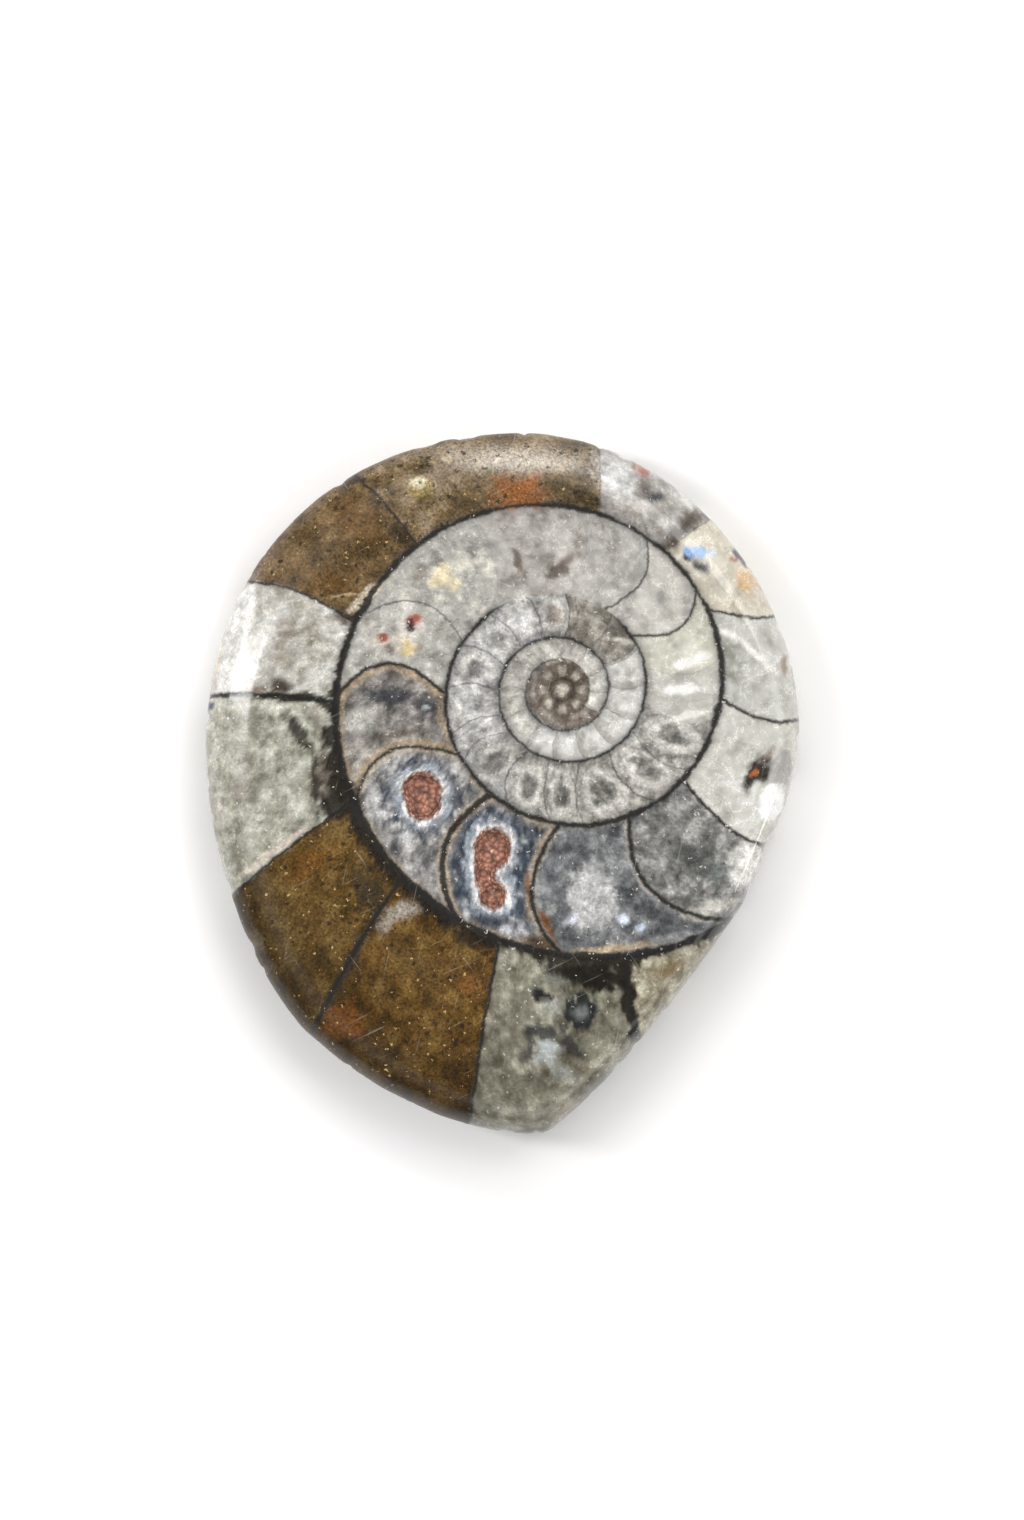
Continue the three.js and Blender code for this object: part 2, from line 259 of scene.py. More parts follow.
# Stains, crystals and veins in the stone, later ones over earlier ones
marks = [
    # brown and black beside the inner wall of the pale green chamber
    stain(-12.95, 3.25, 1.75, 0.42, -54, "#2f2a24", 0.4, 0.92, 0.6),
    stain(-11.2, 0.4, 0.9, 2.2, 2, "#584f45", 0.5, 0.85),
    stain(-12.0, 0.2, 0.32, 2.2, 2, "#332d26", 0.5, 0.88, 0.6),
    stain(-11.4, 3.7, 0.7, 1.3, 14, "#91897d", 0.7, 0.7),
    stain(-10.3, -1.3, 1.45, 1.6, -20, "#2b2721", 0.4, 0.96),
    stain(-16.7, 0.2, 0.7, 1.7, -8, "#9f978d", 0.8, 0.7),
    stain(-18.2, -1.6, 0.5, 1.2, 10, "#b0a79d", 0.8, 0.6),
    stain(-15.9, 1.2, 0.2, 0.7, 40, "#726b60", 0.6, 0.7),
    stain(-14.62, -4.36, 3.1, 0.24, 35, "#d3c6b8", 0.4, 0.92, 0.35),
    stain(-14.0, 6.3, 0.65, 0.5, -20, "#3a3028", 0.6, 0.9),
    stain(-15.6, 6.0, 0.6, 0.3, 10, "#6d5441", 0.7, 0.8),
    stain(-13.5, 5.5, 2.45, 0.36, -2, "#2a241e", 0.35, 0.96),
    stain(-11.3, 4.95, 0.95, 0.34, -42, "#2c2620", 0.4, 0.95),
    stain(-18.7, 4.95, 0.28, 0.4, -35, "#2b3352", 0.4, 0.95),
    # painted highlight: these two pale bands down the left rim stand for the left window's reflection; the
    # outer one is also the calcite's own paler edge
    stain(-17.1, 9.5, 1.15, 4.2, -14, "#f1efea", 0.35, 0.85, 0.4),
    stain(-18.3, 8.4, 0.4, 2.4, -12, "#e6d8c4", 0.6, 0.7),
    stain(-13.6, 9.9, 1.4, 0.9, 10, "#8f8577", 0.9, 0.6),
    stain(-14.0, 8.0, 1.0, 0.9, 30, "#a39b8f", 0.9, 0.5),
    stain(-10.2, 10.6, 0.9, 0.5, -35, "#463a2e", 0.7, 0.8),
    # brown limestone above: rust, the pale corner below it and a round inclusion; painted highlights on the
    # rim and on the inclusion, and painted shade under the inclusion
    stain(-9.4, 16.6, 1.6, 1.9, 30, "#7d5729", 0.9, 0.6),
    stain(-11.2, 13.0, 2.6, 0.9, -15, "#75542a", 0.8, 0.6),
    # painted highlight: a paler patch where the left window's reflection reaches the brown rim
    stain(-15.0, 14.0, 1.3, 1.1, 50, "#9b8268", 0.9, 0.6),
    stain(-9.1, 15.0, 1.2, 1.2, 0, "#51422a", 0.9, 0.6),
    stain(-8.75, 11.85, 1.6, 0.42, 41, "#dccdb5", 0.25, 0.97, 0.4),
    stain(-10.2, 12.0, 1.1, 0.12, 8, "#cdb48c", 0.5, 0.8),
    stain(-6.6, 16.1, 1.2, 0.55, -50, "#3b3122", 0.8, 0.9),
    stain(-8.0, 17.9, 0.5, 1.0, 25, "#4f4331", 0.8, 0.7),
    stain(-9.6, 19.3, 0.7, 0.3, 35, "#3a3125", 0.6, 0.7),
    stain(-5.3, 18.85, 0.88, 0.84, 0, "#a08c58", 0.15, 0.95, 0.1),
    # painted highlight on the round inclusion's upper side and painted shade on its lower side
    stain(-5.4, 19.2, 0.58, 0.40, 10, "#e9dfbd", 0.4, 0.97, 0.1),
    stain(-4.95, 18.3, 0.6, 0.22, 25, "#574720", 0.5, 0.9, 0.1),
    stain(1.1, 18.6, 1.8, 1.2, 0, "#a8683a", 0.6, 0.85),
    # painted highlight: a pale band along the top rim that stands for the head window's reflection
    stain(1.0, 20.7, 5.6, 1.05, -2, "#e6dac9", 0.8, 0.82, 0.5),
    stain(4.9, 18.1, 1.5, 0.7, 0, "#493d29", 0.7, 0.9),
    stain(-3.6, 20.65, 0.28, 0.2, 0, "#cdbfa5", 0.5, 0.8),
    # pale chambers at the upper right
    stain(8.9, 20.15, 0.75, 0.42, -25, "#a5604a", 0.4, 0.95, 0.4),
    stain(8.15, 19.5, 0.6, 0.28, 50, "#6e7173", 0.6, 0.85, 0.4),
    stain(9.75, 18.3, 0.6, 0.3, 5, "#363b40", 0.5, 0.9),
    stain(10.9, 19.25, 0.36, 0.2, -10, "#454b50", 0.5, 0.8),
    stain(12.2, 17.0, 1.3, 0.55, 40, "#5f5549", 0.7, 0.9),
    stain(11.3, 16.0, 1.3, 0.5, 40, "#453c33", 0.6, 0.93),
    stain(10.7, 15.2, 0.6, 0.35, 20, "#4d463d", 0.7, 0.85),
    stain(8.3, 17.7, 1.3, 0.5, -25, "#958c80", 0.9, 0.5),
    stain(7.2, 20.0, 1.7, 1.3, -20, "#e4e3e0", 0.8, 0.8),
    stain(11.6, 18.4, 1.3, 0.6, -32, "#dfddd9", 0.8, 0.75),
    stain(13.2, 17.2, 0.45, 0.25, -30, "#4b443c", 0.5, 0.8),
    stain(12.35, 14.75, 0.95, 0.42, -8, "#86a9d6", 0.45, 0.95),
    stain(13.4, 14.7, 0.4, 0.3, 0, "#cfdcea", 0.5, 0.8),
    stain(11.8, 14.35, 0.42, 0.22, -30, "#23324c", 0.5, 0.95),
    stain(12.75, 13.75, 0.75, 0.42, -38, "#35393d", 0.55, 0.95),
    stain(11.2, 14.5, 0.35, 0.22, 30, "#e6e2d4", 0.5, 0.8),
    stain(15.25, 14.45, 0.75, 0.28, -52, "#2f3a55", 0.4, 0.95),
    stain(14.75, 14.35, 0.3, 0.22, 0, "#9a5a4a", 0.5, 0.9),
    stain(15.7, 13.1, 0.75, 0.9, 20, "#d9b07c", 0.8, 0.75),
    stain(14.8, 15.9, 0.9, 0.5, -45, "#d8bd97", 0.9, 0.5),
    stain(13.7, 12.6, 1.2, 1.1, 0, "#a9a698", 0.9, 0.6),
    stain(14.6, 8.5, 1.0, 0.7, -25, "#84847a", 0.7, 0.85),
    stain(14.4, 7.0, 0.6, 0.5, 0, "#7f8076", 0.7, 0.75),
    stain(16.6, 9.1, 0.7, 0.7, 0, "#aeaca2", 0.8, 0.5),
    stain(14.5, 9.5, 1.0, 0.2, -20, "#f3f0e9", 0.5, 0.95),
    stain(15.9, 8.5, 1.1, 0.22, -42, "#f6f3ec", 0.5, 0.95),
    stain(17.1, 7.4, 0.75, 0.18, -38, "#e9e3d9", 0.5, 0.9),
    stain(18.0, 7.6, 0.28, 0.75, -8, "#91765d", 0.6, 0.85),
    stain(16.8, 5.2, 0.6, 0.35, 20, "#9f9d98", 0.8, 0.7),
    # rust spot, and beside it a small rim facet with a painted grey reflection and a painted white glare
    stain(16.2, 0.7, 1.35, 0.8, 52, "#2c231d", 0.45, 0.97),
    stain(16.05, 0.7, 0.3, 0.17, 55, "#b46c40", 0.4, 0.95, 0.5),
    stain(16.9, 1.9, 0.7, 0.3, 50, "#6d5a4d", 0.8, 0.7),
    # painted reflection (grey) and painted glare (white) on the small facet at the right rim
    stain(17.75, 0.9, 0.8, 1.3, -10, "#a5a29e", 0.2, 0.85, 0.3),
    stain(17.2, -1.2, 0.85, 1.3, -14, "#fbfaf7", 0.15, 0.98, 0.3),
    stain(14.4, -1.9, 0.5, 0.4, 0, "#8f8a80", 0.8, 0.6),
    # slate grey cloud and its fine green crystals
    stain(11.9, -4.6, 1.7, 0.95, -50, "#4a4b48", 0.85, 0.92),
    stain(10.4, -3.2, 1.3, 1.0, -30, "#777672", 0.9, 0.6),
    stain(13.7, -5.7, 1.1, 0.7, -30, "#6f7671", 0.8, 0.7),
    stain(15.7, -5.0, 1.25, 1.9, -30, "#f2efe8", 0.7, 0.92),
    stain(13.3, -7.9, 1.9, 0.7, 18, "#dedad0", 0.8, 0.85),
    # pale blob in its slate surround
    stain(5.7, -7.3, 1.55, 2.15, 12, "#c1c0be", 0.25, 0.93, 0.7),
    stain(3.2, -5.6, 0.9, 1.6, -20, "#5b5d60", 0.9, 0.7),
    stain(7.7, -8.6, 0.5, 0.35, 0, "#dfe6f3", 0.6, 0.8),
    stain(8.8, -9.1, 0.32, 0.25, 0, "#c9d6ee", 0.6, 0.8),
    stain(4.4, -8.6, 0.5, 0.35, 30, "#e2e5ee", 0.7, 0.7),
    stain(6.6, -10.6, 3.2, 0.3, 8, "#c3ac8c", 0.7, 0.8),
    stain(1.7, -6.7, 0.25, 1.2, 5, "#8a6040", 0.6, 0.85),
    stain(2.75, -8.9, 0.3, 1.3, 30, "#7b5230", 0.6, 0.85),
    stain(2.5, -10.1, 1.35, 0.6, -15, "#4f3a24", 0.6, 0.88),
    stain(-2.9, -2.5, 0.22, 0.7, -25, "#8e5a34", 0.6, 0.8),
    # black cloud in the next chamber back
    stain(-7.2, 5.6, 2.5, 0.85, -6, "#3f4044", 0.7, 0.9),
    stain(-4.9, 4.9, 0.9, 0.8, 0, "#4c4d50", 0.9, 0.8),
    stain(-9.0, 3.9, 1.1, 0.9, 0, "#b6b4ad", 0.8, 0.8),
    stain(-6.7, 3.1, 1.9, 0.28, 12, "#5f544a", 0.7, 0.8),
    stain(-4.9, 4.85, 0.28, 0.2, 0, "#d3ddda", 0.6, 0.8),
    # iron stains and cream calcite
    stain(-7.3, 8.7, 1.0, 0.4, -15, "#6f655d", 0.8, 0.7),
    stain(-5.85, 10.1, 0.85, 0.85, 0, "#e2dcd2", 0.4, 0.9, 0.6),
    stain(-6.5, 9.1, 0.9, 0.5, 60, "#d9d0c2", 0.5, 0.8),
    stain(-7.75, 9.2, 0.8, 0.5, 10, "#d4cabb", 0.5, 0.7),
    stain(-7.6, 9.4, 0.52, 0.3, 12, "#96503f", 0.35, 0.95, 0.5),
    stain(-5.7, 10.4, 0.6, 0.42, 20, "#9c5341", 0.4, 0.92, 0.5),
    stain(-5.85, 10.1, 0.34, 0.46, 10, "#3c302a", 0.45, 0.95, 0.6),
    stain(-6.0, 8.6, 0.55, 0.65, 20, "#e2cc98", 0.5, 0.9),
    stain(-3.9, 13.2, 0.9, 0.66, 15, "#efe0bb", 0.4, 0.93),
    stain(-3.0, 12.7, 0.4, 0.5, -20, "#ddcda6", 0.6, 0.7),
    stain(-5.2, 13.2, 0.5, 0.5, 0, "#8d8276", 0.8, 0.6),
    stain(0.9, 14.2, 0.32, 0.95, 20, "#655a50", 0.5, 0.85),
    stain(1.2, 13.4, 0.5, 0.3, 0, "#857a70", 0.7, 0.6),
    stain(3.5, 13.5, 0.95, 0.4, 38, "#574d45", 0.5, 0.88),
    stain(4.15, 14.2, 0.3, 0.5, -30, "#75685d", 0.6, 0.75),
    stain(2.6, 12.2, 1.0, 0.4, 0, "#99918a", 0.8, 0.5),
    # the coil's middle
    stain(6.6, 10.5, 1.4, 0.5, -35, "#666258", 0.7, 0.8),
    stain(7.2, 9.6, 1.1, 0.4, -12, "#5b564e", 0.7, 0.8),
    stain(1.2, 10.2, 0.95, 0.6, 25, "#e3e2df", 0.6, 0.85),
    stain(3.4, 10.6, 0.7, 0.8, -35, "#a08d7d", 0.8, 0.5),
    stain(7.3, 9.15, 1.1, 0.16, -6, "#d4d0c4", 0.6, 0.7),
    stain(12.0, 7.75, 1.45, 0.42, 17, "#f6f5ef", 0.5, 0.92, 0.5),
    stain(11.4, 6.0, 1.5, 0.36, 6, "#f6f4ee", 0.5, 0.92, 0.5),
    stain(11.9, 4.35, 1.4, 0.3, 12, "#ebe8e0", 0.5, 0.85, 0.5),
    stain(11.6, 6.9, 1.1, 0.35, 10, "#a3a39b", 0.8, 0.7),
    stain(10.7, 5.4, 1.0, 0.3, -15, "#b1aea6", 0.8, 0.6),
    # grey patch, rust and dark seam in the lower limestone
    stain(-9.7, -11.4, 4.7, 0.5, 62, "#39342a", 0.8, 0.8),
    stain(-6.5, -8.1, 1.5, 0.7, 18, "#b4aa9c", 0.5, 0.9, 0.7),
    stain(-7.5, -9.0, 0.5, 0.8, -30, "#aca192", 0.6, 0.85, 0.7),
    stain(-10.2, -15.2, 1.3, 1.3, 0, "#7a4c1f", 0.3, 0.85),
    stain(-12.2, -5.2, 1.8, 0.8, 35, "#8a5c27", 0.9, 0.7),
    stain(-10.6, -2.9, 1.0, 0.7, 0, "#82663c", 0.8, 0.8),
    stain(-8.6, -6.6, 1.0, 1.8, 25, "#3f3526", 0.7, 0.85),
    stain(-5.4, -7.2, 2.6, 0.5, -42, "#2f2a23", 0.6, 0.85),
    stain(-2.2, -9.9, 2.0, 0.5, -22, "#2a241e", 0.6, 0.85),
    stain(-2.0, -12.9, 0.9, 0.9, 0, "#91602f", 0.9, 0.6),
    stain(-6.0, -11.5, 2.6, 1.2, -20, "#7d6238", 0.9, 0.6),
    # black and blue-white crystals in the green calcite
    stain(5.5, -12.3, 2.6, 0.95, -4, "#1b1814", 0.35, 0.98),
    stain(7.6, -12.6, 1.0, 0.7, -25, "#2d2822", 0.5, 0.9),
    stain(2.5, -13.4, 0.85, 0.4, -20, "#1b1c1f", 0.35, 0.96, 0.7),
    stain(3.2, -12.4, 1.0, 0.5, -15, "#8f8d83", 0.8, 0.7),
    stain(3.1, -14.1, 0.7, 0.5, 0, "#a5a69f", 0.7, 0.8),
    stain(5.0, -14.55, 1.2, 1.15, 0, "#232628", 0.2, 0.96, 0.7),
    stain(5.05, -14.5, 0.6, 0.5, 20, "#6d706f", 0.6, 0.92, 0.7),
    stain(2.6, -15.8, 1.4, 0.6, 4, "#41413f", 0.35, 0.94, 0.8),
    stain(1.5, -17.2, 0.45, 1.0, -22, "#504e48", 0.4, 0.92, 0.8),
    stain(4.4, -16.8, 1.1, 0.42, -42, "#3a3936", 0.35, 0.94, 0.8),
    stain(2.9, -17.1, 0.95, 0.75, 0, "#b9bfbf", 0.7, 0.9),
    stain(3.9, -18.4, 0.9, 0.5, -30, "#a9aca5", 0.8, 0.7),
    stain(5.2, -18.2, 0.8, 0.4, -20, "#77705f", 0.7, 0.7),
    stain(5.75, -20.0, 0.9, 0.28, 52, "#453c30", 0.6, 0.92),
    stain(4.4, -21.25, 0.8, 0.24, 42, "#4b3a26", 0.6, 0.92),
    stain(2.0, -22.3, 1.9, 0.26, 4, "#49331b", 0.5, 0.95),
    stain(4.0, -20.9, 1.1, 0.6, 30, "#b8ad9a", 0.9, 0.5),
    stain(8.15, -14.2, 0.55, 3.1, 9, "#231f1a", 0.25, 0.97),
    stain(10.6, -11.9, 1.4, 0.5, 20, "#7a6546", 0.8, 0.8),
]

# The two open vugs: lobes of each as ellipses in mm, and what lines them from the edge outwards
vugs = dict(
    lobes=[
        [dict(at=(-5.15, -0.35), size=(1.22, 1.05)), dict(at=(-5.05, -1.35), size=(1.05, 0.95))],
        [dict(at=(-0.62, -4.15), size=(1.18, 1.35)), dict(at=(-1.15, -5.6), size=(0.65, 1.1)),
         dict(at=(-0.62, -7.1), size=(0.9, 0.92))],
    ],
    joining=6.0,  # per mm, how sharply lobes run together
    depth=0.7, floor="#a06e5a",  # mm, rust-red druse
    rings=[(0.26, "#eee9e4"), (0.60, "#a9b0b8"), (1.25, "#3a424e")],  # mm out to where each tone ends
)

# The coil's first chambers: a pale seed, a dark ring round it and a ring of small pale cells
coilMiddle = dict(
    at=(3.80, 5.97), discRadius=1.80, disc="#5f554b",  # mm
    seedRadius=0.42, seed="#aca398", ringRadius=0.74, ring="#453b33",
    cellRadius=1.24, cellSpread=0.24, cellCount=8, cell="#b3aa9e",
)


# How far out a point lies in an ellipse: 0 in the middle and 1 on its edge
def ellipseReach(place, x, y):
    tilt = math.radians(place.get("tilt", 0))
    dx, dy = x - place["at"][0], y - place["at"][1]
    along = dx * math.cos(tilt) + dy * math.sin(tilt)
    aside = dy * math.cos(tilt) - dx * math.sin(tilt)
    return np.hypot(along / place["size"][0], aside / place["size"][1])


# Distance in mm outside the nearest vug's edge, negative inside; lobes of one vug run together
def outsideVugs(x, y):
    nearest = np.full(x.shape, 9.0)
    for lobes in vugs["lobes"]:
        spans = [(ellipseReach(lobe, x, y) - 1) * min(lobe["size"]) for lobe in lobes]
        joined = -np.log(sum(np.exp(-vugs["joining"] * span) for span in spans)) / vugs["joining"]
        nearest = np.minimum(nearest, joined)
    return nearest


# Moves the stone's colour towards a tone, by a cover from 0 to 1 at each point
def paintOver(stone, tone, cover):
    return stone + (hexColour(tone) - stone) * cover[:, None]


# Everything the stone's material reads, worked out for all points at once
def stoneFields(x, y, edgeRadius):
    waver, bend = 0.12, 0.6  # mm, how ragged the shell's walls and the stains' edges are
    turn, fromInner, toOuter, inner, outer = shellPlace(
        x + waver * (mottle(x, y, 0.8, 12) - 0.5), y + waver * (mottle(x, y, 0.8, 22) - 0.5), edgeRadius)
    xBent = x + bend * (mottle(x, y, 0.7, 11) - 0.5)
    yBent = y + bend * (mottle(x, y, 0.7, 21) - 0.5)
    radius = np.hypot(x - sliceShape["coilCentre"][0], y - sliceShape["coilCentre"][1])
    width = np.maximum(outer - inner, 0.3)
    across = np.clip(fromInner / width, 0, 1)
    rows = allChambers()
    past = np.stack([pastSeptum(c["septum"], turn, across, radius, width) for c in rows])
    chamberAt = np.maximum((past > 0).sum(0) - 1, 0)
    nearest = np.abs(past).argmin(0)
    septumAside = np.take_along_axis(past, nearest[None], 0)[0]
    septumLine = np.array([c["septum"][3] for c in rows])[nearest]

    wallIsInner = fromInner < toOuter
    wallAside = np.where(wallIsInner, fromInner, -toOuter)
    wallTurn = np.where(wallIsInner, turn - 360, turn)
    wallLine = np.interp(wallTurn, coil["lineTurns"], coil["lineWidths"])
    wallLine = wallLine * (0.6 + 0.8 * mottle(x, y, 1.1, 31))
    noWall = (wallTurn < coil["firstTurn"]) | (wallTurn > coil["lastTurn"])

    # filling: dark, main and light tone mixed by a mottle, with a lining and an eye where it has them
    tones = np.array([[hexColour(code) for code in c["fill"]] for c in rows])[chamberAt]
    cloud, speck = mottle(x, y, 1.0, 41), mottle(x, y, 0.38, 71)
    own = {name: np.array([c.get(name, 0) for c in rows])[chamberAt]
           for name in ("eye", "bead", "edge", "rays", "calm")}
    mix = np.clip(0.5 + (cloud - 0.5 + 0.5 * (speck - 0.5)) * (1 - 0.5 * own["calm"]), 0, 1)
    shade, light = ramp(0.5 - mix, 0.0, 0.4)[:, None], ramp(mix - 0.5, 0.0, 0.4)[:, None]
    stone = tones[:, 1] * (1 - shade - light) + tones[:, 0] * shade + tones[:, 2] * light
    depth = np.minimum(np.abs(wallAside), np.abs(septumAside))
    linings = [c.get("lining", ("#000000", 0)) for c in rows]
    tone = np.array([hexColour(lining[0]) for lining in linings])[chamberAt]
    reach = np.array([lining[1] for lining in linings])[chamberAt]
    cover = 0.85 * (reach > 0) * (1 - ramp(depth + 0.35 * (speck - 0.5), 0.6 * reach, 1.2 * reach + 0.01))
    stone = stone + (tone - stone) * cover[:, None]
    # how far a point is along its chamber: -1 at the septum that opens it and 1 at the next one
    starts = np.array([(c["septum"][0] + c["septum"][1]) / 2 for c in rows] + [lastChamberEnd])
    phase = (turn - (starts[chamberAt] + starts[chamberAt + 1]) / 2) / np.diff(starts)[chamberAt] * 2
    stone = paintEyes(stone, own["eye"], phase, across, speck)
    halo = np.exp(-(wallAside / coil["haloReach"])**2) * (wallLine > 0.02) * (0.5 + cloud)
    stone = paintOver(stone, coil["haloTone"], np.where(noWall, 0, coil["haloCover"] * halo))
    stone = paintOver(stone, "#8f8a82", own["bead"] * ramp(np.abs(phase), 0.7, 1.0))
    # painted shade: chambers with an edge share darken towards the slice's edge, where the rounded rim faces
    # away from the light
    stone = stone * (1 - own["edge"] * ramp(across, 0.4, 1.0))[:, None]

    # fibrous calcite: streaks that run from the inner wall outwards
    streakWidth, streakLength = 0.3, 3  # mm
    fibre = softNoise(np.radians(turn) * radius / streakWidth, fromInner / streakLength, 1, 51)
    stone = stone * (1 + 1.1 * own["rays"] * (fibre - 0.5))[:, None]

    for mark in marks:
        ragged = mark["ragged"]
        reach = ellipseReach(mark, x + ragged * (xBent - x), y + ragged * (yBent - y))
        reach = reach + 0.55 * ragged * (speck - 0.5)
        inside = 1 - ramp(reach, 1 - mark["soft"], 1 + 0.4 * mark["soft"])
        stone = paintOver(stone, mark["tone"], mark["cover"] * inside)
    stone = paintMiddle(stone, x, y, speck)

    # black mud along the outside of the last whorl's wall
    seam = np.interp(turn - 360, coil["seamTurns"], coil["seamWidths"], left=0, right=0)
    outwards = fromInner + 0.7 * (speck - 0.5) + 0.5 * (cloud - 0.5)
    muddy = (1 - ramp(outwards, 0.65 * seam, 1.05 * seam + 0.01)) * (seam > 0.02)
    stone = paintOver(stone, "#27231d", 0.93 * muddy)

    # vugs: rings of crystal round the opening, then its rusty floor
    outside = outsideVugs(x + 0.3 * (xBent - x), y + 0.3 * (yBent - y))
    patchy = (0.4 + 0.7 * mottle(x, y, 0.5, 91)).clip(0, 1)
    for reach, tone in reversed(vugs["rings"]):
        edge = outside + (0.35 + 0.5 * reach) * (speck - 0.5)
        stone = paintOver(stone, tone, (1 - ramp(edge, 0.6 * reach, 1.15 * reach)) * patchy)
    opening = 1 - ramp(outside, -0.06, 0.06)
    stone = paintOver(stone, vugs["floor"], opening)

    limestone = np.array([float(c.get("stone") == "limestone") for c in rows])[chamberAt]
    # halfway between two lines the nearest one changes, so no line may be drawn there
    wallLine = np.where(noWall, -1, wallLine - ramp(np.abs(wallAside), 0.5, 0.7))
    septumLine = septumLine - ramp(np.abs(septumAside), 0.5, 0.7)
    return dict(
        mineral=stone, wallAside=wallAside, wallLine=wallLine, septumAside=septumAside,
        septumLine=septumLine, limestone=limestone, vug=opening, grainy=1 - own["calm"],
        vugDepth=ramp(-outside, -0.05, 0.45) * vugs["depth"],
    )


# The eye in a chamber: a dark speckled core, a pale ring round it and a thin darker shell line
def paintEyes(stone, strength, phase, across, speck):
    reach = np.hypot(phase + 0.25, (across - 0.52) * 2) + 0.3 * (speck - 0.5)
    stone = paintOver(stone, "#dedad2", 0.6 * strength * np.exp(-((reach - 0.64) / 0.17)**2))
    stone = paintOver(stone, "#7f7a71", 0.6 * strength * np.exp(-((reach - 0.90) / 0.06)**2))
    core = (1 - ramp(reach, 0.3, 0.55)) * (0.45 + 0.55 * ramp(speck, 0.2, 0.7))
    return paintOver(stone, "#4a4844", 0.85 * strength * core)


# The middle of the coil: cells stand round a circle as the peaks of a cosine of the bearing
def paintMiddle(stone, x, y, speck):
    m = coilMiddle
    dx, dy = x - m["at"][0], y - m["at"][1]
    radius, bearing = np.hypot(dx, dy) + 0.12 * (speck - 0.5), np.arctan2(dy, dx)
    onDisc = 1 - ramp(radius, 0.93 * m["discRadius"], 1.03 * m["discRadius"])
    stone = paintOver(stone, m["disc"], 0.85 * onDisc)
    onCircle = np.exp(-((radius - m["cellRadius"]) / m["cellSpread"])**2)
    stone = paintOver(stone, m["cell"], 0.9 * onCircle * ramp(np.cos(m["cellCount"] * bearing), -0.6, 0.5))
    stone = paintOver(stone, m["ring"], 0.9 * np.exp(-((radius - m["ringRadius"]) / 0.14)**2))
    return paintOver(stone, m["seed"], 1 - ramp(radius, 0.75 * m["seedRadius"], 1.15 * m["seedRadius"]))


# Profile of each column from the middle of the face over the rim to the middle of the underside:
# reach from the coil's centre and height in mm, as rows by columns. The rim is a quarter ellipse.
def sliceProfile(fullReach, rimRound):
    shape = sliceShape
    roundStart = thickness - shape["rimRoundDrop"]
    steps = [np.arange(1, shape[name] + 1)[:, None] / shape[name]
             for name in ("faceRows", "rimRows", "sideRows", "edgeRows", "undersideRows")]
    face, rim, side, edge, under = steps
    rimAngle, edgeAngle = np.pi / 2 * (1 - rim), np.pi / 2 * edge
    undersideReach = fullReach - shape["undersideRound"]
    lastShare = 1 - 0.98 * under  # the last row stays just off the middle
    reach = [
        (fullReach - rimRound) * face**1.15,
        fullReach - rimRound * (1 - np.cos(rimAngle)),
        fullReach + 0 * side,
        fullReach - shape["undersideRound"] * (1 - np.cos(edgeAngle)),
        undersideReach * lastShare,
    ]
    height = [
        thickness + 0 * face,
        roundStart + shape["rimRoundDrop"] * np.sin(rimAngle),
        roundStart + (shape["undersideRound"] - roundStart) * side,
        shape["undersideRound"] * (1 - np.sin(edgeAngle)),
        0 * under,
    ]
    columns = np.zeros_like(fullReach)
    return np.vstack([rows + columns for rows in reach]), np.vstack([rows + columns for rows in height])


# How far chips and a slow wave eat into the outline at each column, in mm
def rimWear(outline):
    x, y = outline[:, 0], outline[:, 1]
    wave = sliceShape["waveDepth"] * softNoise(x, y, sliceShape["waveLength"], 81)
    chips = ramp(softNoise(x, y, sliceShape["chipLength"], 82), sliceShape["chipShare"], 1)
    notch = np.exp(-(np.hypot(*(outline - sliceShape["notchAt"]).T) / sliceShape["notchReach"])**2)
    return wave + sliceShape["chipDepth"] * chips + sliceShape["notchDepth"] * notch


# Puts a mesh, a light or a camera into the scene as an object
def addObject(name, data):
    holder = bpy.data.objects.new(name, data)
    bpy.context.scene.collection.objects.link(holder)
    return holder


# Puts arrays of values into named attributes of a mesh, one value for each vertex
def storeFields(mesh, fields):
    for name, values in fields.items():
        if values.ndim == 2:
            rgba = np.column_stack([values, np.ones(len(values))])
            mesh.attributes.new(name, "FLOAT_COLOR", "POINT").data.foreach_set("color", rgba.ravel())
        else:
            mesh.attributes.new(name, "FLOAT", "POINT").data.foreach_set("value", values)


# Where the two islands of the bake map lie and how large they are for each mm of surface
bakeMap = dict(topMiddle=(0.285, 0.565), topScale=0.0138, lowerMiddle=(0.80, 0.30), lowerScale=0.0083)


# The bake map, OFBake: face and side unrolled as one island, the underside as a smaller one.
# A point lies in its own direction, as far out as the surface is long up to there.
def storeMap(mesh, direction, reach, height, cornerPoint, cornerIsTop):
    stepRun = np.hypot(np.diff(reach, axis=0), np.diff(height, axis=0))
    run = np.vstack([reach[:1], reach[:1] + np.cumsum(stepRun, axis=0)])
    fromBelow = reach[-1:] + run[-1:] - run
    middles = [bakeMap["topMiddle"], bakeMap["lowerMiddle"]]
    scales = [bakeMap["topScale"], bakeMap["lowerScale"]]
    islands = []
    for middle, scale, distance in zip(middles, scales, (run, fromBelow)):
        island = direction[None] * distance[..., None] * scale + np.array(middle)
        islands.append(np.vstack([island.reshape(-1, 2), middles]))
    uv = np.where(cornerIsTop[:, None], islands[0][cornerPoint], islands[1][cornerPoint])
    mesh.uv_layers.new(name="OFBake").data.foreach_set("uv", uv.ravel())


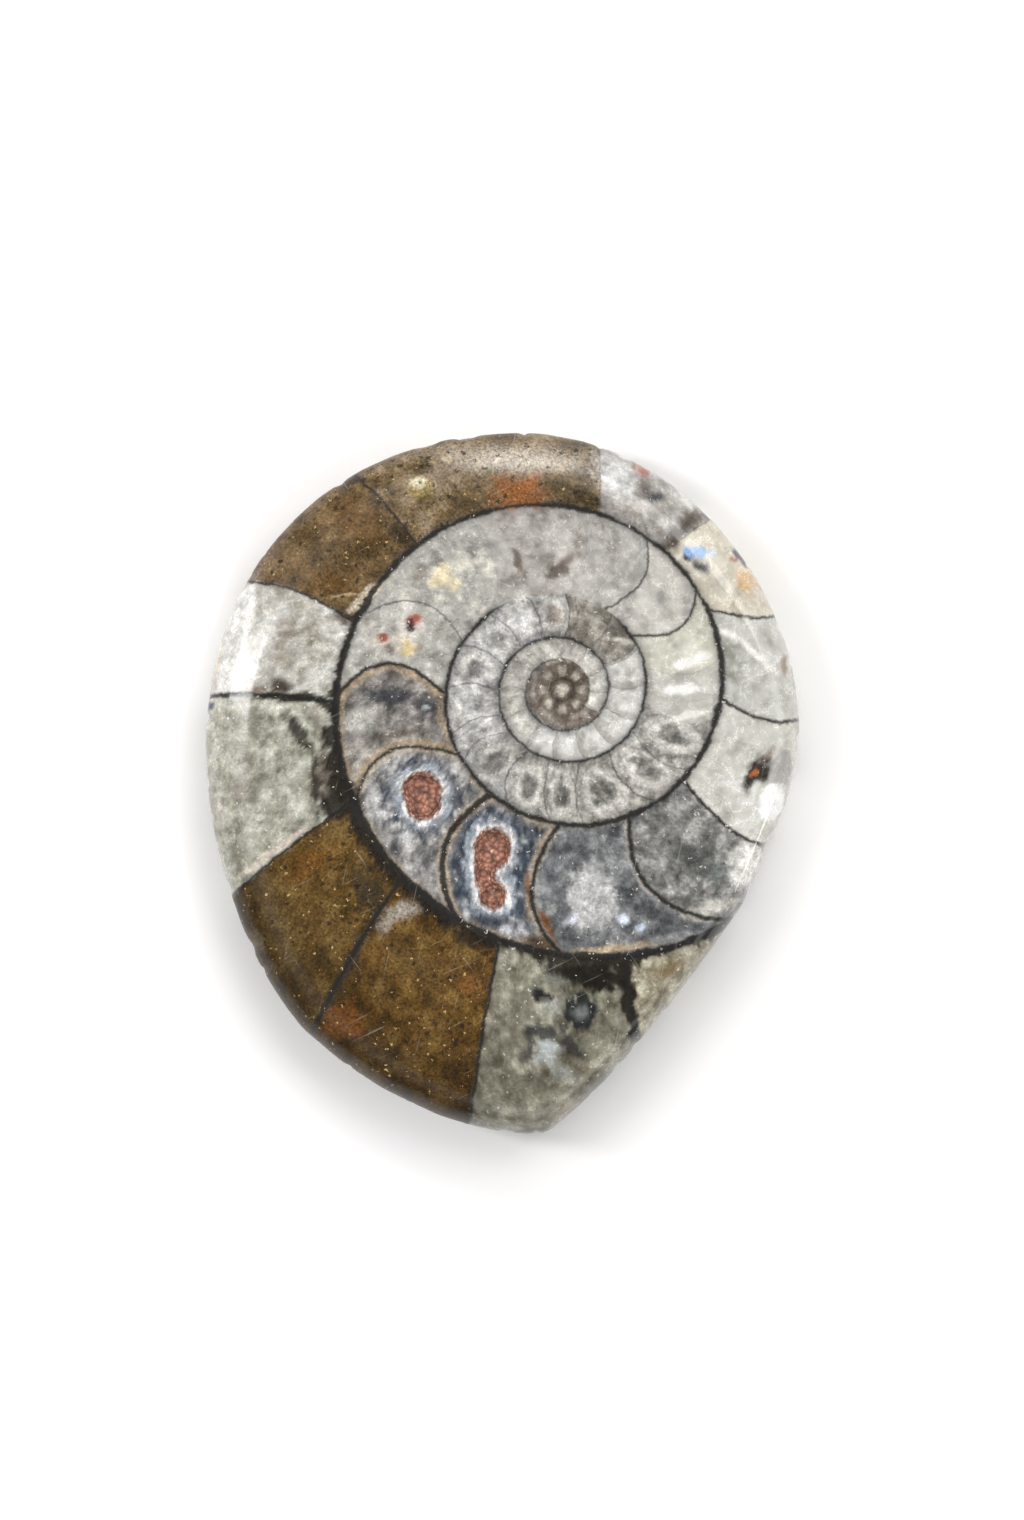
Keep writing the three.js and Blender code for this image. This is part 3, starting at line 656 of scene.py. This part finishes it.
# The slice as one closed mesh. Columns run round the outline; rows run from the middle of the
# face out over the rim, down the side and back to the middle of the underside.
def buildSlice():
    shape = sliceShape
    centre = np.array(shape["coilCentre"])
    outline = sliceOutline(shape["columns"])
    fullReach = np.hypot(*(outline - centre).T)
    direction = (outline - centre) / fullReach[:, None]
    bearing = np.degrees(np.arctan2(direction[:, 1], direction[:, 0]))
    fromWidest = np.radians(bearing - shape["rimWidestAt"])
    rimRound = shape["rimRoundMean"] + shape["rimRoundSwing"] * np.cos(fromWidest)
    reach, height = sliceProfile(fullReach, rimRound)
    rows, columns = reach.shape

    # down the side the coil narrows and turns a little, so that it doesn't show upright stripes
    depth = np.maximum(thickness - shape["rimRoundDrop"] - height, 0)
    patternReach = reach * (1 - shape["coilFlare"] * depth)
    patternTurn = np.radians(bearing) - shape["coilTwist"] * depth
    patternX = centre[0] + patternReach * np.cos(patternTurn)
    patternY = centre[1] + patternReach * np.sin(patternTurn)
    edgeRadius = fullReach + 0 * reach
    flat = [np.append(values.ravel(), [values[0, 0], values[-1, 0]])
            for values in (patternX, patternY, edgeRadius)]
    flat[0][-2:], flat[1][-2:] = centre[0], centre[1]
    fields = stoneFields(*flat)
    print("slice: stone pattern worked out for", len(flat[0]), "points")

    vugDepth = fields.pop("vugDepth")
    wear = rimWear(outline) * ramp(reach, fullReach - 0.6 * rimRound, fullReach)
    wornReach = reach - wear
    onFace = (height > thickness - 0.01).astype(float)
    z = height - vugDepth[:-2].reshape(rows, columns) * onFace
    points = np.zeros((rows * columns + 2, 3))
    points[:-2, 0] = (centre[0] + direction[:, 0] * wornReach).ravel()
    points[:-2, 1] = (centre[1] + direction[:, 1] * wornReach).ravel()
    points[:-2, 2] = z.ravel()
    points[-2] = (centre[0], centre[1], thickness)
    points[-1] = (centre[0], centre[1], 0)

    index = np.arange(rows * columns).reshape(rows, columns)
    after = np.roll(index, -1, axis=1)
    quads = np.stack([index[:-1], index[1:], after[1:], after[:-1]], -1).reshape(-1, 4)
    topFan = np.stack([np.full(columns, rows * columns), index[0], after[0]], -1)
    underFan = np.stack([np.full(columns, rows * columns + 1), after[-1], index[-1]], -1)
    mesh = bpy.data.meshes.new("polishedSlice")
    mesh.from_pydata(points * mm, [], quads.tolist() + topFan.tolist() + underFan.tolist())
    mesh.polygons.foreach_set("use_smooth", np.ones(len(mesh.polygons), bool))

    sawn = 1 - ramp(height, 0.9, 2.2)
    fields["sawn"] = np.append(sawn.ravel(), [0, 1])
    storeFields(mesh, fields)
    rowsOnTop = shape["faceRows"] + shape["rimRows"] + shape["sideRows"]
    quadIsTop = np.repeat(np.arange(rows - 1) < rowsOnTop - 1, columns)
    fanIsTop = np.repeat([True, False], 3 * columns)
    cornerIsTop = np.concatenate([np.repeat(quadIsTop, 4), fanIsTop])
    cornerPoint = np.concatenate([quads.ravel(), topFan.ravel(), underFan.ravel()])
    storeMap(mesh, direction, reach, height, cornerPoint, cornerIsTop)
    print("slice:", len(mesh.polygons), "faces")
    return addObject("polished_slice", mesh)


# Adds a node; `settings` are its own properties or its sockets' values, and `links` say which
# socket, or which node's first output, feeds each input
def addNode(tree, kind, settings=None, links=None):
    node = tree.nodes.new("ShaderNode" + kind)
    for name, value in (settings or {}).items():
        if isinstance(name, str) and hasattr(node, name):
            setattr(node, name, value)
        else:
            node.inputs[name].default_value = value
    for name, source in (links or {}).items():
        tree.links.new(getattr(source, "outputs", [source])[0], node.inputs[name])
    return node


stoneFinish = dict(
    ior=1.56, sawnRoughness=0.62,
    honedBelow=4.0, polishedAbove=5.5,  # mm above the underside
    # sizes in the stone, in mm
    grain=0.17, cloud=0.65, spar=0.8, fleck=0.45, speck=0.34, scratch=0.16, relief=0.15,
    # in calcite and in limestone: brightness at the lows and at the highs of the grain and of the
    # clouds, brightness in a crack, roughness of the polish and strength of the shine
    grainLows=(0.72, 0.34), grainHighs=(1.06, 1.05), cloudLows=(0.62, 0.88), cloudHighs=(1.42, 1.12),
    crackGains=(1.4, 1.12), polishes=(0.11, 0.27), shines=(0.5, 0.25),
    tones=dict(line="#252422", fleck="#241d12", gold="#d9b97f", dust="#e4dfd4", sawn="#bdb6a8"),
)


# Polished calcite and limestone fossil, ground flat, polished with fine grit and left sawn
# below. The eye gets a glassy skin over sugary calcite, fine dark flecks and gold specks in the
# brown limestone, dark shell lines and hairline scratches from handling.
def polishedFossilStone():
    material = bpy.data.materials.new("polished calcite and limestone fossil")
    material.use_nodes = True
    tree = material.node_tree
    tree.nodes.clear()
    add = functools.partial(addNode, tree)
    finish = stoneFinish
    tone = {name: (*hexColour(code), 1) for name, code in finish["tones"].items()}
    where = add("TexCoord")
    inMm = add("VectorMath", {"operation": "SCALE", "Scale": 1 / mm}, {0: where.outputs["Object"]})
    mineral = add("Attribute", {"attribute_name": "mineral"}).outputs["Color"]
    names = ("wallAside", "wallLine", "septumAside", "septumLine", "limestone", "vug", "grainy", "sawn")
    field = {name: add("Attribute", {"attribute_name": name}).outputs["Fac"] for name in names}
    limestone = field["limestone"]

    # brightness of the stone: sugary grain, cloudy patches and spar crystals multiplied together;
    # a polish draws stone darker than it is when rough
    noises, gains = [], []
    for name, detail in (("grain", 2.0), ("cloud", 3.0)):
        noise = add("TexNoise", {"Scale": 1 / finish[name], "Detail": detail, "Roughness": 0.6},
                    {"Vector": inMm})
        lowest, highest = [
            add("MapRange", {"To Min": inCalcite, "To Max": inLimestone}, {"Value": limestone})
            for inCalcite, inLimestone in (finish[name + "Lows"], finish[name + "Highs"])
        ]
        noises.append(noise)
        gains.append(add("MapRange", {"clamp": False, "From Min": 0.3, "From Max": 0.7},
                         {"Value": noise, "To Min": lowest, "To Max": highest}))
    grain = noises[0]
    spar = add("TexVoronoi", {"Scale": 1 / finish["spar"]}, {"Vector": inMm})
    sparGrey = add("RGBToBW", {}, {"Color": spar.outputs["Color"]})
    sparGain = add("MapRange", {"From Min": 0.2, "From Max": 0.8, "To Min": 0.88, "To Max": 1.12},
                   {"Value": sparGrey})
    gain = add("Math", {"operation": "MULTIPLY"}, {0: gains[0], 1: gains[1]})
    allGain = add("Math", {"operation": "MULTIPLY"}, {0: gain, 1: sparGain})
    calmed = add("Mix", {"data_type": "FLOAT", 2: 0.95}, {0: field["grainy"], 3: allGain})
    stone = add("VectorMath", {"operation": "SCALE"}, {0: mineral, "Scale": calmed})

    # healed cracks: paler where a broad noise crosses its middle value
    crack = add("TexNoise", {"Scale": 0.75, "Detail": 4.0, "Roughness": 0.62, "Distortion": 0.4},
                {"Vector": inMm})
    crackFrom = add("Math", {"operation": "SUBTRACT", 1: 0.5}, {0: crack})
    crackAside = add("Math", {"operation": "ABSOLUTE"}, {0: crackFrom})
    inCalcite, inLimestone = finish["crackGains"]
    crackHigh = add("MapRange", {"To Min": inCalcite, "To Max": inLimestone}, {"Value": limestone})
    crackGain = add("MapRange", {"From Max": 0.016}, {"Value": crackAside, "To Min": crackHigh})
    cracked = add("VectorMath", {"operation": "SCALE"}, {0: stone, "Scale": crackGain})

    # ragged spots in some of the cells, each shown where its size is more than the distance from
    # the cell's middle: dark flecks in the limestone and bright specks in the polish
    bend = add("VectorMath", {"operation": "MULTIPLY_ADD", 1: (0.5, 0.5, 0.5)},
               {0: grain.outputs["Color"], 2: inMm})
    spots = []
    for name, channel, size, softness in (("fleck", "Red", 0.46, 0.12), ("speck", "Green", 0.28, 0.10)):
        cells = add("TexVoronoi", {"Scale": 1 / finish[name]}, {"Vector": bend})
        pick = add("SeparateColor", {}, {"Color": cells.outputs["Color"]})
        spotSize = add("MapRange", {"From Min": 0.4, "To Max": size}, {"Value": pick.outputs[channel]})
        gap = add("Math", {"operation": "SUBTRACT"}, {0: spotSize, 1: cells})
        spots.append(add("MapRange", {"From Max": softness, "To Max": 0.75}, {"Value": gap}))
    fleckMask = add("Math", {"operation": "MULTIPLY"}, {0: spots[0], 1: limestone})
    flecked = add("Mix", {"data_type": "RGBA", 7: tone["fleck"]}, {0: fleckMask, 6: cracked})

    # shell wall and septa: dark where the distance to the line is under its half width, the line
    # wavering by a few hundredths of a millimetre
    waver = add("TexNoise", {"Scale": 2.6, "Detail": 3.0, "Roughness": 0.7}, {"Vector": inMm})
    waverBy = add("MapRange", {"To Min": -0.16, "To Max": 0.16}, {"Value": waver})
    lines = []
    for kind in ("wall", "septum"):
        shifted = add("Math", {"operation": "ADD"}, {0: field[kind + "Aside"], 1: waverBy})
        apart = add("Math", {"operation": "ABSOLUTE"}, {0: shifted})
        outside = add("Math", {"operation": "SUBTRACT"}, {0: apart, 1: field[kind + "Line"]})
        edge = {"From Min": -0.10, "From Max": 0.12, "To Min": 0.94, "To Max": 0.0}
        lines.append(add("MapRange", {"interpolation_type": "SMOOTHSTEP", **edge}, {"Value": outside}))
    line = add("Math", {"operation": "MAXIMUM"}, {0: lines[0], 1: lines[1]})
    lined = add("Mix", {"data_type": "RGBA", 7: tone["line"]}, {0: line, 6: flecked.outputs[2]})

    # the bright specks: gold pyrite grains in the limestone, pale dust elsewhere
    speckTone = add("Mix", {"data_type": "RGBA", 6: tone["dust"], 7: tone["gold"]}, {0: limestone})
    scratched = add("Mix", {"data_type": "RGBA"},
                    {0: spots[1], 6: lined.outputs[2], 7: speckTone.outputs[2]})

    # hairline scratches: peaks of a noise drawn out long one way; real ones are finer than this
    for turned in (0.45, 1.35, 2.2):
        drawnOut = {"Rotation": (0, 0, turned), "Scale": (3.2, finish["scratch"], 2.0)}
        drawn = add("Mapping", {"vector_type": "TEXTURE", **drawnOut}, {"Vector": inMm})
        streak = add("TexNoise", {"Scale": 1.0, "Detail": 1.0}, {"Vector": drawn})
        streakMask = add("MapRange", {"From Min": 0.72, "From Max": 0.82, "To Max": 0.15},
                         {"Value": streak})
        scratched = add("Mix", {"data_type": "RGBA", 7: tone["dust"]},
                        {0: streakMask, 6: scratched.outputs[2]})

    # open vugs: red-brown druse, with painted highlights on the crystal tips and painted shade between them
    druse = add("TexVoronoi", {"Scale": 3.2}, {"Vector": inMm})
    druseLitAndShaded = add("MapRange", {"From Max": 0.75, "To Min": 1.9, "To Max": 0.5}, {"Value": druse})
    polishedTone = scratched.outputs[2]
    vugTone = add("VectorMath", {"operation": "SCALE"}, {0: polishedTone, "Scale": druseLitAndShaded})
    withVugs = add("Mix", {"data_type": "RGBA"}, {0: field["vug"], 6: polishedTone, 7: vugTone})

    # saw-cut stone is duller and paler than the polished face
    paler = add("MapRange", {"To Max": 0.3}, {"Value": field["sawn"]})
    colour = add("Mix", {"data_type": "RGBA", 7: tone["sawn"]}, {0: paler, 6: withVugs.outputs[2]})

    # roughness: calcite takes the best polish, limestone less, the vugs and the saw cut none
    smear = add("TexNoise", {"Scale": 0.5, "Detail": 3.0}, {"Vector": inMm})
    uneven = add("MapRange", {"From Min": 0.3, "From Max": 0.7, "To Min": -0.03, "To Max": 0.06},
                 {"Value": smear})
    inCalcite, inLimestone = finish["polishes"]
    polish = add("MapRange", {"To Min": inCalcite, "To Max": inLimestone}, {"Value": limestone})
    polished = add("Math", {"operation": "ADD"}, {0: polish, 1: uneven})
    dull = add("Math", {"operation": "MAXIMUM"}, {0: field["sawn"], 1: field["vug"]})
    roughness = add("Mix", {"data_type": "FLOAT", 3: finish["sawnRoughness"]}, {0: dull, 2: polished})

    # relief: crystals stand up in the vugs, the saw leaves a grain and the shell lines sit low
    druseHeight = add("Math", {"operation": "MULTIPLY"}, {0: druse, 1: field["vug"]})
    height = add("Math", {"operation": "MULTIPLY"}, {0: grain, 1: field["sawn"]})
    for part, share in ((druseHeight, -2.0), (line, -0.05), (grain, 0.02)):
        height = add("Math", {"operation": "MULTIPLY_ADD", 1: share}, {0: part, 2: height})
    bump = add("Bump", {"Strength": 0.8, "Distance": finish["relief"] * mm}, {"Height": height})

    # pores in the limestone break up part of its shine, and the polish stops partway down the rim
    inCalcite, inLimestone = finish["shines"]
    porous = add("MapRange", {"To Min": inCalcite, "To Max": inLimestone}, {"Value": limestone})
    place = add("SeparateXYZ", {}, {0: inMm})
    polishEdge = {"From Min": finish["honedBelow"], "From Max": finish["polishedAbove"], "To Min": 0.08}
    shine = add("MapRange", polishEdge, {"Value": place.outputs["Z"], "To Max": porous})

    inputs = {"Base Color": colour.outputs[2], "Roughness": roughness, "Specular IOR Level": shine,
              "Normal": bump}
    shader = add("BsdfPrincipled", {"IOR": finish["ior"]}, inputs)
    add("OutputMaterial", {}, {"Surface": shader})
    return material


studio = dict(
    floorTone="#fbfaf9", floorSize=3.0,  # metres
    lens=150.0, sensor=36.0, frameHeight=97.9,  # mm; the last is how much floor the camera sees
    lookAt=(0.6, 1.5), lookHeight=2.0,  # mm, off the slice's middle and above the floor
    horizon=0.20, walls=1.04, ceiling=0.07,  # brightness of the room around
    brightSide=(0.9, -0.4, 0.0), sideSwing=0.35,  # the direction of its brighter half and by how much
)


# Matt white paper sweep: even and pale, it only takes the soft shadow
def studioFloor():
    half = studio["floorSize"] / 2
    mesh = bpy.data.meshes.new("paperFloor")
    corners = [(-half, -half, 0), (half, -half, 0), (half, half, 0), (-half, half, 0)]
    mesh.from_pydata(corners, [], [(0, 1, 2, 3)])
    material = bpy.data.materials.new("matt white paper")
    material.use_nodes = True
    shader = material.node_tree.nodes["Principled BSDF"]
    shader.inputs["Base Color"].default_value = (*hexColour(studio["floorTone"]), 1)
    shader.inputs["Roughness"].default_value = 0.85
    shader.inputs["Specular IOR Level"].default_value = 0.1
    mesh.materials.append(material)
    floor = addObject("paper_floor", mesh)


# A soft box turned towards the slice: `azimuth` and `elevation` in degrees say where it hangs, and
# its power in watts follows from the radiance wanted, as radiance times pi times area
def softBox(name, azimuth, elevation, distance, size, radiance, tone):
    light = bpy.data.lights.new(name, "AREA")
    light.shape, light.size, light.size_y = "RECTANGLE", size[0], size[1]
    light.energy, light.color = radiance * math.pi * size[0] * size[1], tuple(hexColour(tone))
    lamp = addObject(name, light)
    turn, rise = math.radians(azimuth), math.radians(elevation)
    out = distance * math.cos(rise)
    lamp.location = (out * math.cos(turn), out * math.sin(turn), distance * math.sin(rise))
    lamp.rotation_euler = (-lamp.location).to_track_quat("-Z", "Y").to_euler()


# The camera hangs upright over the slice, as high as its lens needs to see that much floor: the
# height seen times the lens over the sensor
def studioCamera():
    camera = bpy.data.cameras.new("camera")
    camera.lens, camera.sensor_width = studio["lens"], studio["sensor"]
    camera.clip_start, camera.clip_end = 0.01, 10
    above = studio["frameHeight"] * studio["lens"] / studio["sensor"] + studio["lookHeight"]
    holder = addObject("camera", camera)
    holder.location = (studio["lookAt"][0] * mm, studio["lookAt"][1] * mm, above * mm)
    bpy.context.scene.camera = holder


# Three windows, a low lamp and the room, whose walls and ceiling change smoothly with the height
# that a direction points to, and whose bright side follows the direction's dot product with it
def studioLights():
    softBox("left window", 165, 45, 0.5, (0.08, 0.36), 11.0, "#fbfafb")
    softBox("right window", 52, 58, 0.5, (0.24, 0.20), 3.6, "#fffefb")
    softBox("head window", 90, 45, 0.55, (0.32, 0.08), 7.5, "#fffefb")
    softBox("low lamp", -20, 16, 0.5, (0.07, 0.09), 10.0, "#fffaf2")

    # the room: pale walls and a darker ceiling, so the flat polished face mirrors no glare
    world = bpy.data.worlds.new("soft room")
    world.use_nodes = True
    tree = world.node_tree
    direction = addNode(tree, "TexCoord")
    rise = addNode(tree, "SeparateXYZ", {}, {0: direction.outputs["Generated"]})
    wallTones = {"From Min": 0.35, "From Max": 0.75, "To Min": studio["horizon"], "To Max": studio["walls"]}
    ceilingTones = {"From Min": 0.93, "From Max": 0.975, "To Min": 1.0, "To Max": studio["ceiling"]}
    upper, dim = [
        addNode(tree, "MapRange", {"interpolation_type": "SMOOTHSTEP", **tones}, {"Value": rise.outputs["Z"]})
        for tones in (wallTones, ceilingTones)
    ]
    towards = addNode(tree, "VectorMath", {"operation": "DOT_PRODUCT", 1: studio["brightSide"]},
                      {0: direction.outputs["Generated"]})
    swing = studio["sideSwing"]
    sideTones = {"From Min": -0.7, "From Max": 0.7, "To Min": 1 - swing, "To Max": 1 + swing}
    side = addNode(tree, "MapRange", sideTones, {"Value": towards.outputs["Value"]})
    level = addNode(tree, "Math", {"operation": "MULTIPLY"}, {0: upper, 1: dim})
    strength = addNode(tree, "Math", {"operation": "MULTIPLY"}, {0: level, 1: side})
    background = tree.nodes["Background"]
    background.inputs["Color"].default_value = (*hexColour("#f7f8fa"), 1)
    tree.links.new(strength.outputs[0], background.inputs["Strength"])
    bpy.context.scene.world = world


studioCamera()
studioLights()
studioFloor()
print("studio: camera, lights and floor are in place")

polishedSlice = buildSlice()
polishedSlice.data.materials.append(polishedFossilStone())
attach(polishedSlice, "root")
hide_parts("goniatite_slice")
bpy.context.scene.view_settings.view_transform = "Standard"
